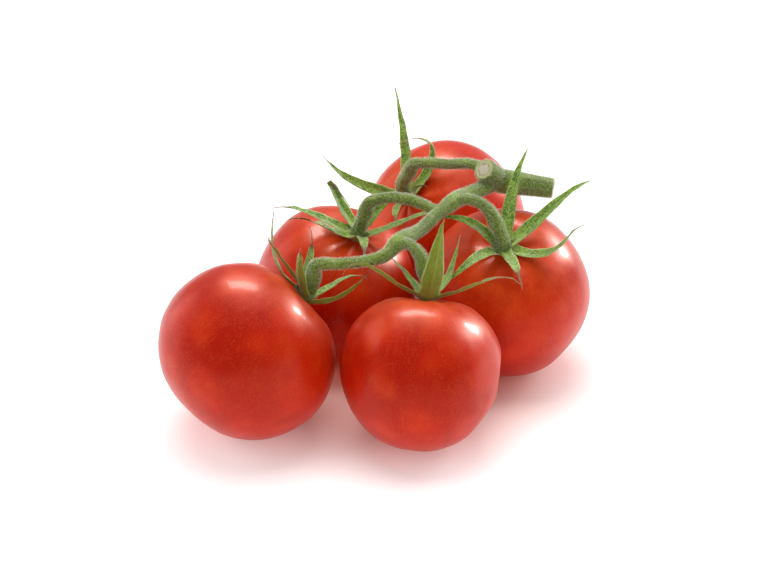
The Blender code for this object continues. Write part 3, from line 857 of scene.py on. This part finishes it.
def stem_tree():
    """Geometry nodes that turn lines of points into round closed stems."""
    graph, (lines, count, finish) = new_tree("Round stems", ("Sides", "Int", 20))
    curve = graph.node("GeometryNodeMeshToCurve", None, {"Mesh": lines})
    width = graph.node("GeometryNodeInputNamedAttribute", {"data_type": "FLOAT"}, {"Name": "width"})
    ring = graph.node("GeometryNodeCurvePrimitiveCircle", None, {"Resolution": count, "Radius": 1.0})
    tube = graph.node("GeometryNodeCurveToMesh", None,
                      {"Curve": curve, "Profile Curve": ring, "Scale": width, "Fill Caps": True})
    return end_tree(graph, tube, finish)


def set_inputs(modifier, tree, **values):
    """Sets a nodes modifier's inputs by their sockets' identifiers."""
    modifier.node_group = tree
    for item in tree.interface.items_tree:
        if item.item_type == "SOCKET" and item.in_out == "INPUT" and item.name in values:
            modifier[item.identifier] = values[item.name]


def blended_stems(name, runs, block, material):
    """One smooth closed mesh of all the runs, melted together where they meet."""
    points, edges, widths = [], [], []
    for run in runs:
        for i, point in enumerate(run):
            if i:
                edges.append((len(points) - 1, len(points)))
            points.append(tuple(point.xyz))
            widths.append(point.w)
    lines = bpy.data.meshes.new(name)
    lines.from_pydata(points, edges, [])
    layer = lines.attributes.new("width", "FLOAT", "POINT")
    layer.data.foreach_set("value", widths)
    obj = loose_object(name, lines)
    tree = bpy.data.node_groups.get("Round stems") or stem_tree()
    set_inputs(obj.modifiers.new("stems", "NODES"), tree, Sides=20, Material=material)
    remesh = obj.modifiers.new("melt", "REMESH")
    remesh.mode = "VOXEL"
    remesh.voxel_size = block
    smooth = obj.modifiers.new("smooth", "SMOOTH")
    smooth.factor = 0.5
    smooth.iterations = 5
    return evaluated_mesh(obj)


def stem_samples(runs):
    """Place, frame, width and distance along, for points all along the runs."""
    samples = []
    for number, run in enumerate(runs):
        side = Vector((0.2, 0.1, 1.0))
        travelled = number * 0.13
        for i, point in enumerate(run):
            ahead = (run[min(i + 1, len(run) - 1)].xyz - run[max(i - 1, 0)].xyz).normalized()
            side = (side - ahead * side.dot(ahead)).normalized()
            if i:
                travelled += (point.xyz - run[i - 1].xyz).length
            samples.append((point.xyz, side, ahead.cross(side), point.w, travelled))
    return samples


def stem_coordinates(points, runs):
    """For each point of a stem: the angle round it and the distance along it."""
    samples = stem_samples(runs)
    tree = KDTree(len(samples))
    for i, sample in enumerate(samples):
        tree.insert(sample[0], i)
    tree.balance()
    found = np.zeros((len(points), 2))
    for row, point in enumerate(points):
        spot = Vector(point)
        near = min(tree.find_n(spot, 6), key=lambda hit: hit[2] - samples[hit[1]][3])
        centre, side, other, _, travelled = samples[near[1]]
        off = spot - centre
        found[row] = (math.atan2(off.dot(other), off.dot(side)), travelled)
    return found


def cut_faces():
    """Middle, outward direction and radius of each cut end."""
    fork, end = key(FORK, FORK_RADIUS), key(CUT_END, PEDUNCLE_RADIUS)
    aim = Vector(STUB_AIM).normalized()
    return [(end.xyz, (end.xyz - fork.xyz).normalized(), PEDUNCLE_RADIUS),
            (fork.xyz + aim * STUB_LENGTH, aim, STUB_RADIUS)]


def texture_stem(mesh, runs, ridge, collars=(), feet=()):
    """Ridges and grain on a melted stem, and the attributes that its material reads."""
    points = rows_of(mesh.vertices, "co")
    normals = rows_of(mesh.vertex_normals, "vector")
    around, along = stem_coordinates(points, runs).T
    cut = np.full(len(points), 2.0)
    for middle, aim, radius in cut_faces():
        off = points - np.array(middle)
        depth = off @ np.array(aim)
        out = np.linalg.norm(off - np.outer(depth, np.array(aim)), axis=1) / radius
        near = (depth > -0.0005) & (out < 1.15)
        cut = np.where(near, out, cut)
    bark = (cut > 1.5).astype(float)
    grain = np.array([noise.noise(Vector(point) * 900) + 0.6 * noise.noise(Vector(point) * 2100)
                      for point in points])
    wave = np.cos(6 * around + 3 * np.sin(along * 120)) + 0.5 * np.cos(11 * around + along * 90)
    lift = bark * (wave * ridge * 0.8 + grain * ridge * 0.9) + (1 - bark) * grain * ridge * 1.2
    moved = points + normals * lift[:, None]
    mesh.vertices.foreach_set("co", moved.astype(np.float32).ravel())
    mesh.update()
    set_attribute(mesh, "stem", np.stack([around, along, cut], axis=1))
    collar, foot = nearness(points, collars, COLLAR_REACH), nearness(points, feet, FOOT_REACH)
    set_attribute(mesh, "marks", np.stack([collar, foot, np.zeros(len(points))], axis=1))


def nearness(points, spots, reach):
    """1 at any of the spots, fading to 0 beyond reach."""
    if not spots:
        return np.zeros(len(points))
    far = np.min([np.linalg.norm(points - np.array(spot), axis=1) for spot in spots], axis=0)
    return np.clip(1.6 - 1.6 * far / reach, 0, 1)


# ---------------------------------------------------------------- sepals
def spread_roots(headings):
    """Root angles nearest to the headings that keep ROOT_SPACING round the stalk."""
    order = sorted(range(len(headings)), key=lambda i: headings[i] % 360)
    angles = [headings[i] % 360 for i in order]
    for _ in range(200):
        for i in range(len(angles)):
            j = (i + 1) % len(angles)
            lap = 360 if j == 0 else 0
            short = ROOT_SPACING - (angles[j] + lap - angles[i])
            if short > 0:
                angles[i] -= short / 2
                angles[j] += short / 2
    roots = [0.0] * len(headings)
    for i, angle in zip(order, angles):
        roots[i] = angle
    return roots


def sepal_rings(sepal, root_angle, foot, turn):
    """Middle, side and normal of the blade at each ring from root to tip."""
    radial = Vector((math.cos(math.radians(root_angle)), math.sin(math.radians(root_angle)), 0))
    spot = radial * (CALYX_RADIUS + GAP + SEPAL_THICKNESS / 2) + Vector((0, 0, SEPAL_ROOT_RISE))
    side = Vector((-radial.y, radial.x, 0))
    rings = []
    for ring in range(SEPAL_RINGS + 1):
        share = ring / SEPAL_RINGS
        climb = math.radians(sepal.lift + sepal.bow * share + sepal.hook * share ** 4
                             + sepal.fold * (share > FOLD_PLACE))
        aim = math.radians(sepal.heading + sepal.sway * share ** 2)
        ahead = Vector((math.cos(climb) * math.cos(aim), math.cos(climb) * math.sin(aim),
                        math.sin(climb)))
        side = (side - ahead * side.dot(ahead)).normalized()
        rings.append((foot + turn @ spot, turn @ side, turn @ ahead.cross(side), share))
        spot = spot + ahead * sepal.length * SEPAL_LENGTH / SEPAL_RINGS
    return rings


def half_width(share, sepal):
    full = sepal.width * SEPAL_WIDTH
    swell = min(1.0, share / 0.22)
    half = (SEPAL_ROOT_WIDTH + (full - SEPAL_ROOT_WIDTH) * swell) * (1 - share) ** SEPAL_TAPER / 2
    return max(half, SEPAL_THICKNESS * 0.3)


def blade_ring(middle, side, normal, share, sepal):
    """Four corners of the plain blade: left edge, lower rib, right edge, upper rib."""
    half = half_width(share, sepal)
    thick = SEPAL_THICKNESS * (1 - 0.6 * share) / 2
    edge = normal * half * SEPAL_CHANNEL
    return [middle - side * half + edge, middle - normal * thick,
            middle + side * half + edge, middle + normal * thick]


def push_from(corner, solids, blades):
    """The longest move that this corner needs to clear everything near it."""
    longest = Vector()
    for tree in solids:
        spot, normal, _, _ = tree.find_nearest(corner, 0.012)
        if spot is None:
            continue
        short = SEPAL_CLEARANCE - (corner - spot).dot(normal)
        if short > longest.length:
            longest = normal * short
    for tree in blades:
        spot, _, _, distance = tree.find_nearest(corner, SEPAL_SPACING)
        if spot is not None and SEPAL_SPACING - distance > longest.length:
            longest = (corner - spot).normalized() * (SEPAL_SPACING - distance)
    return longest


def cleared(rings, sepal, solids, blades, sweeps=9, easing=6):
    """The rings, eased off whatever they would touch."""
    shifts = [Vector() for _ in rings]
    for sweep in range(sweeps):
        for i, (middle, side, normal, share) in enumerate(rings):
            corners = blade_ring(middle + shifts[i], side, normal, share, sepal)
            pushes = [push_from(corner, solids, blades) for corner in corners]
            shifts[i] += max(pushes, key=lambda push: push.length)
        if sweep < easing:
            eased = [shifts[0]]
            for i in range(1, len(shifts)):
                after = shifts[min(i + 1, len(shifts) - 1)]
                eased.append(shifts[i] * 0.5 + (shifts[i - 1] + after) * 0.25)
            shifts = eased
    return [(middle + shift, side, normal, share)
            for (middle, side, normal, share), shift in zip(rings, shifts)]


def refined(rings, parts):
    """The rings with parts as many between them, on a smooth curve."""
    keys = [Vector((*ring[0], ring[3])) for ring in rings]
    fine = []
    for i in range(len(rings) - 1):
        before = keys[i - 1] if i else keys[i] * 2 - keys[i + 1]
        after = keys[i + 2] if i + 2 < len(keys) else keys[i + 1] * 2 - keys[i]
        for k in range(parts + (i == len(rings) - 2)):
            t = k / parts
            spot = (keys[i] * 2 + (keys[i + 1] - before) * t
                    + (before * 2 - keys[i] * 5 + keys[i + 1] * 4 - after) * t ** 2
                    + (keys[i] * 3 - before - keys[i + 1] * 3 + after) * t ** 3) / 2
            side = rings[i][1].lerp(rings[i + 1][1], t).normalized()
            normal = rings[i][2].lerp(rings[i + 1][2], t)
            normal = (normal - side * normal.dot(side)).normalized()
            fine.append((spot.xyz, side, normal, spot.w))
    return fine


BLADE_POINTS = 11           # points across a sepal's face
BLADE_PARTS = 5             # fine rings for each ring of the plain blade
SEPAL_ROOT_RADII = (0.0015, 0.0014, 0.0012, 0.00085, 0.00045)
CALYX_PLUG = ((0.0016, 0.0030), (0.0006, 0.0033), (-0.0006, 0.0028),    # rise over the foot, radius
              (-0.0020, 0.0019), (-0.0034, 0.0014))


def blade_half(share, sepal, dry):
    """Half the width of a fine blade, broad at its root and drawn out where it has withered."""
    swell = 1.0 - 0.14 * math.sin(math.pi * min(1.0, share / 0.22))
    half = 1.12 * sepal.width * SEPAL_WIDTH * swell * (1 - share ** 1.6) ** 0.95 / 2
    return max(half * (1 - 0.55 * dry), 0.00018)


def sepal_mesh(name, sepal, rings, foot, ripple):
    """Thin channelled blade with a midrib, waved edges and a curled withered tip."""
    pick = random.Random("blade " + name)
    phases = [pick.uniform(0, 2 * math.pi) for _ in range(4)]
    twist_end = math.radians(pick.choice((-1, 1)) * pick.uniform(25, 75))
    cup = pick.uniform(0.8, 1.5)
    length_now = sepal.length * SEPAL_LENGTH
    root = rings[0][0]
    inner = foot + (root - foot) * 0.25
    lead = [(inner.lerp(root, k / 3), rings[0][1], rings[0][2], -0.02 * (3 - k)) for k in range(3)]
    rows, blade, wither = [], [], []
    shares = np.linspace(-1, 1, BLADE_POINTS)
    loop = [(a, 1) for a in shares] + [(a, -1) for a in shares[-2:0:-1]]
    for middle, side, normal, share in lead + rings[:-1]:
        along = max(share, 0.0)
        dry = min(max((along - (1 - sepal.dry)) / 0.10, 0.0), 1.0) if sepal.dry > 0 else 0.0
        half = blade_half(along, sepal, dry)
        angle = twist_end * max(0.0, along - 0.35) ** 1.5 * (1 + dry)
        spin = Quaternion(side.cross(normal), angle)
        side, normal = spin @ side, spin @ normal
        row = []
        for across, face in loop:
            flank = phases[0] if across < 0 else phases[1]
            wave = math.sin(along * length_now / 0.0062 * math.pi + flank)
            wave += 0.5 * math.sin(along * length_now / 0.0031 * math.pi + flank * 2.3)
            rise = half * SEPAL_CHANNEL * cup * abs(across) ** 1.4
            fade = min(1.0, along / 0.12) * min(1.0, half / 0.001)
            rise += ripple * (0.5 + dry) * wave * across ** 2 * fade
            body = 0.00030 * (1 - 0.5 * along) * (1 - abs(across) ** 3)
            rib = 0.00035 * math.exp(-(across / 0.16) ** 2) * (1 - 0.7 * along)
            if face > 0:
                rise += body / 2 - rib * 0.30
            else:
                rise -= body / 2 + rib
            row.append(middle + side * half * across + normal * rise)
            blade.append((across, along, 0.5 - 0.5 * face * (abs(across) < 0.999)))
            wither.append((dry, sepal.brown, phases[2]))
        rows.append(row)
    tip = rings[-1][0]
    mesh = lofted(name, rows, sum(rows[0], Vector()) / len(rows[0]), tip)
    set_attribute(mesh, "blade", [(0, 0, 0.5), *blade, (0, 1, 0.5)])
    set_attribute(mesh, "wither", [wither[0], *wither, (float(sepal.dry > 0), sepal.brown, 0)])
    return mesh


@functools.lru_cache(maxsize=None)
def sepal_roots(fruit, place_key):
    """Rings of every sepal of one fruit before they are eased off their neighbours."""
    roots = spread_roots([sepal.heading for sepal in fruit.sepals])
    foot = foot_of(fruit, Vector(place_key))
    return [sepal_rings(sepal, angle, foot, fruit_axes(fruit))
            for sepal, angle in zip(fruit.sepals, roots)]


def calyx_runs(fruit, place):
    """Short thick roots that carry the sepals out of the stalk's foot, and the plug below it."""
    axis = fruit_axes(fruit).col[2]
    foot = foot_of(fruit, place)
    runs = [[Vector((*(foot + axis * rise), radius)) for rise, radius in CALYX_PLUG]]
    for rings in sepal_roots(fruit, tuple(place)):
        start, end = foot + axis * SEPAL_ROOT_RISE * 0.7, rings[1][0]
        runs.append([Vector((*start.lerp(end, 0.2 + 0.62 * k / 4), radius))
                     for k, radius in enumerate(SEPAL_ROOT_RADII)])
    return runs


# ---------------------------------------------------------------- hairs
def hair_tree():
    """Geometry nodes that grow short leaning hairs on a surface."""
    graph, (base, density, size, thick, lean, seed, finish) = new_tree(
        "Short hairs", ("Density", "Float", 1e6), ("Length", "Float", 0.0009),
        ("Thickness", "Float", 0.00006), ("Lean", "Float", 0.6), ("Seed", "Int", 7))
    scattered = graph.node("GeometryNodeDistributePointsOnFaces", {"distribute_method": "RANDOM"},
                           {"Mesh": base, "Density": density, "Seed": seed})
    upright = Wire(graph, scattered.socket.node.outputs["Rotation"])

    def chance(low, high, seed):
        return graph.node("FunctionNodeRandomValue", {"data_type": "FLOAT"},
                          {2: low, 3: high, "Seed": seed}, out=1)

    tilt = graph.vector(chance(lean * -1.0, lean, seed), chance(lean * -1.0, lean, seed + 1), 0.0)
    turned = graph.node("FunctionNodeRotateRotation", {"rotation_space": "LOCAL"},
                        {0: upright, 1: graph.node("FunctionNodeEulerToRotation", None, {0: tilt})})
    hair = graph.node("GeometryNodeMeshCone", {"fill_type": "TRIANGLE_FAN"},
                      {"Vertices": 3, "Side Segments": 1, "Fill Segments": 1, "Radius Top": 0.0,
                       "Radius Bottom": thick / 2.0, "Depth": size})
    grown = graph.node("GeometryNodeInstanceOnPoints", None,
                       {"Points": scattered, "Instance": hair, "Rotation": turned,
                        "Scale": graph.vector(1.0, 1.0, chance(0.35, 1.0, seed + 2))})
    return end_tree(graph, grown, finish)


def grow_hairs(name, hosts, density, size, thickness, lean, seed):
    """Hairs on the given pieces, as one plain mesh."""
    whole = bmesh.new()
    for host in hosts:
        whole.from_mesh(host.data)
    mesh = bpy.data.meshes.new(name)
    whole.to_mesh(mesh)
    whole.free()
    obj = loose_object(name, mesh)
    material = material_of("fine_hair", hair_fibre)
    tree = bpy.data.node_groups.get("Short hairs") or hair_tree()
    set_inputs(obj.modifiers.new("hairs", "NODES"), tree, Density=density, Length=size,
               Thickness=thickness, Lean=lean, Seed=seed, Material=material)
    return evaluated_mesh(obj), material


# ---------------------------------------------------------------- operators
class TRUSS_OT_tomatoes(bpy.types.Operator):
    """Make the five tomatoes, each resting in its place"""
    bl_idname = "truss.tomatoes"
    bl_label = "Tomatoes"

    def execute(self, context):
        look = context.scene.tomato_look
        material = material_of("ripe_skin", tomato_skin)
        places, _ = layout()
        for fruit, place in zip(FRUITS, places):
            add_piece("skin_" + fruit.name, tomato_mesh(fruit, place, look), material,
                      "tomato_skin", "tomato_" + fruit.name)
        return {"FINISHED"}


class TRUSS_OT_vine(bpy.types.Operator):
    """Make the vine, from its cut end to the knuckle of each stalk"""
    bl_idname = "truss.vine"
    bl_label = "Vine"

    def execute(self, context):
        look = context.scene.stem_look
        material = material_of("vine_skin", stem_skin)
        vine, _ = stem_runs()
        mesh = blended_stems("vine", vine, look.grain, material)
        collars = [key(spot, 0.0).xyz for spot in (*KNOTS, CUT_END)]
        texture_stem(mesh, vine, look.ridge, collars=collars)
        add_piece("vine", mesh, material, "vine_green", "vine_stem")
        return {"FINISHED"}


class TRUSS_OT_stalks(bpy.types.Operator):
    """Make the five stalks below their knuckles, with the roots of their sepals"""
    bl_idname = "truss.stalks"
    bl_label = "Stalks"

    def execute(self, context):
        look = context.scene.stem_look
        material = material_of("vine_skin", stem_skin)
        _, stalks = stem_runs()
        places, _ = layout()
        for fruit, place, stalk in zip(FRUITS, places, stalks):
            mesh = blended_stems("foot_" + fruit.name, [stalk, *calyx_runs(fruit, place)],
                                 look.grain * FOOT_GRAIN, material)
            texture_stem(mesh, [stalk], look.ridge, feet=[foot_of(fruit, place)])
            add_piece("foot_" + fruit.name, mesh, material, "vine_green", "stalk_" + fruit.name)
        return {"FINISHED"}


class TRUSS_OT_sepals(bpy.types.Operator):
    """Make the sepals round each stalk, eased off the fruit and stems"""
    bl_idname = "truss.sepals"
    bl_label = "Sepals"

    def execute(self, context):
        look = context.scene.sepal_look
        material = material_of("sepal_skin", sepal_skin)
        places, _ = layout()
        names = ["skin_" + fruit.name for fruit in FRUITS] + ["vine"]
        solids = [search_tree(bpy.data.objects[name]) for name in names]
        blades = []
        for fruit, place in zip(FRUITS, places):
            foot = foot_of(fruit, place)
            for number, (sepal, rings) in enumerate(
                    zip(fruit.sepals, sepal_roots(fruit, tuple(place))), 1):
                rings = cleared(rings, sepal, solids, blades)
                rings = refined(rings, BLADE_PARTS)
                rings = cleared(rings, sepal, solids, [], 4, 3)
                name = "blade_%s_%d" % (fruit.name, number)
                mesh = sepal_mesh(name, sepal, rings, foot, look.ripple)
                piece = add_piece(name, mesh, material, "sepal_green",
                                  "sepal_%s_%d" % (fruit.name, number))
                blades.append(search_tree(piece))
            solids.append(search_tree(bpy.data.objects["foot_" + fruit.name]))
        return {"FINISHED"}


class TRUSS_OT_hairs(bpy.types.Operator):
    """Grow fine hairs on the stems and sepals"""
    bl_idname = "truss.hairs"
    bl_label = "Hairs"

    def execute(self, context):
        look = context.scene.hair_look
        stems = [bpy.data.objects[name]
                 for name in ["vine"] + ["foot_" + fruit.name for fruit in FRUITS]]
        blades = [piece for piece in bpy.data.objects if piece.name.startswith("blade_")]
        mesh, material = grow_hairs("stem_hairs", stems, look.density, look.length,
                                    look.thickness, 0.55, look.seed)
        add_piece("stem_hairs", mesh, material, "vine_green")
        mesh, material = grow_hairs("sepal_hairs", blades, look.density * 0.7, look.length * 0.45,
                                    look.thickness * 0.8, 0.8, look.seed + 10)
        add_piece("sepal_hairs", mesh, material, "sepal_green")
        return {"FINISHED"}


class Light(NamedTuple):
    name: str
    aim: tuple              # from the bunch towards the light
    distance: float
    size: tuple             # width and height
    radiance: float
    shade: bool = True      # whether it lights surfaces
    shine: bool = True      # whether it shows as a highlight


LIGHTS = (
    Light("key", (0.76, 0.56, 0.44), 1.1, (0.50, 0.50), 5.0, shine=False),
    Light("top", (-0.05, 0.25, 0.95), 1.3, (1.10, 1.00), 3.6, shine=False),
    Light("left", (-0.95, 0.40, 0.30), 1.4, (0.9, 1.0), 2.0),
    Light("front", (0.25, -0.95, 0.60), 1.4, (0.8, 0.6), 0.6, shine=False),
    Light("key shine", (0.74, 0.52, 0.40), 1.1, (0.13, 0.26), 200.0, shade=False),
    Light("top shine", (-0.05, 0.50, 0.87), 1.3, (0.62, 0.40), 30.0, shade=False),
)
LIGHT_AIM = (0.0, 0.0, 0.035)       # what the lights and the camera point at, from the origin
CAMERA_AIM = (0.0, 0.0, 0.045)
FLOOR_REACH = 6.0
FLOOR_DROP = 0.0002         # how far the floor lies under the fruit
SKY_STRENGTH = 0.38


def soft_box(lamp):
    """Rectangular light aimed at the middle of the bunch."""
    _, shift = layout()
    target = Vector(LIGHT_AIM) + shift
    data = bpy.data.lights.new(lamp.name, "AREA")
    data.shape = "RECTANGLE"
    data.size, data.size_y = lamp.size
    data.energy = lamp.radiance * math.pi * lamp.size[0] * lamp.size[1]
    light = loose_object(lamp.name, data)
    light.location = target + Vector(lamp.aim).normalized() * lamp.distance
    light.rotation_euler = (light.location - target).to_track_quat("Z", "Y").to_euler()
    light.visible_diffuse, light.visible_glossy = lamp.shade, lamp.shine


class TRUSS_OT_stage(bpy.types.Operator):
    """Set the pale floor, the soft lights and the camera"""
    bl_idname = "truss.stage"
    bl_label = "Stage"

    def execute(self, context):
        look = context.scene.stage_look
        scene = context.scene
        scene.view_settings.view_transform = "Standard"
        floor = bpy.data.meshes.new("floor")
        floor.from_pydata([(x * FLOOR_REACH, y * FLOOR_REACH, -FLOOR_DROP)
                           for x, y in ((-1, -1), (1, -1), (1, 1), (-1, 1))], [], [(0, 1, 2, 3)])
        floor.materials.append(material_of("floor_paint", floor_paint))
        loose_object("floor", floor)
        world = bpy.data.worlds.new("studio")
        world.use_nodes = True
        graph = Graph(world.node_tree)
        sky = graph.node("ShaderNodeBackground", None,
                         {"Color": (1.0, 1.0, 1.0), "Strength": SKY_STRENGTH})
        graph.node("ShaderNodeOutputWorld", None, {"Surface": sky})
        scene.world = world
        for lamp in LIGHTS:
            soft_box(lamp)
        _, shift = layout()
        back = Vector((0.0, -math.cos(look.elevation), math.sin(look.elevation)))
        data = bpy.data.cameras.new("camera")
        data.sensor_width = 36.0
        data.lens = look.lens
        data.clip_start = 0.01
        camera = loose_object("camera", data)
        camera.location = Vector(CAMERA_AIM) + shift + back * look.distance
        camera.rotation_euler = back.to_track_quat("Z", "Y").to_euler()
        scene.camera = camera
        return {"FINISHED"}


class TRUSS_PT_panel(bpy.types.Panel):
    """Makes the bunch piece by piece"""
    bl_idname = "TRUSS_PT_panel"
    bl_label = "Truss of Tomatoes"
    bl_space_type = "VIEW_3D"
    bl_region_type = "UI"
    bl_category = "Tomatoes"

    def draw(self, context):
        for operator, group in STEPS:
            box = self.layout.box()
            box.operator(operator)
            for field in GROUPS[group].__annotations__ if group else ():
                box.prop(getattr(context.scene, group), field)


STEPS = (("truss.stage", "stage_look"), ("truss.tomatoes", "tomato_look"),
         ("truss.vine", "stem_look"), ("truss.stalks", None), ("truss.sepals", "sepal_look"),
         ("truss.hairs", "hair_look"))
GROUPS = {"tomato_look": TomatoSettings, "stem_look": StemSettings,
          "sepal_look": SepalSettings, "hair_look": HairSettings, "stage_look": StageSettings}
CLASSES = (TRUSS_OT_stage, TRUSS_OT_tomatoes, TRUSS_OT_vine, TRUSS_OT_stalks, TRUSS_OT_sepals,
           TRUSS_OT_hairs, TRUSS_PT_panel)


def register():
    for name, group in GROUPS.items():
        bpy.utils.register_class(group)
        setattr(bpy.types.Scene, name, PointerProperty(type=group))
    for item in CLASSES:
        bpy.utils.register_class(item)


def unregister():
    for item in reversed(CLASSES):
        bpy.utils.unregister_class(item)
    for name, group in reversed(GROUPS.items()):
        delattr(bpy.types.Scene, name)
        bpy.utils.unregister_class(group)


def main():
    register()
    for operator, _ in STEPS:
        family, name = operator.split(".")
        getattr(getattr(bpy.ops, family), name)()


if __name__ == "__main__":
    main()
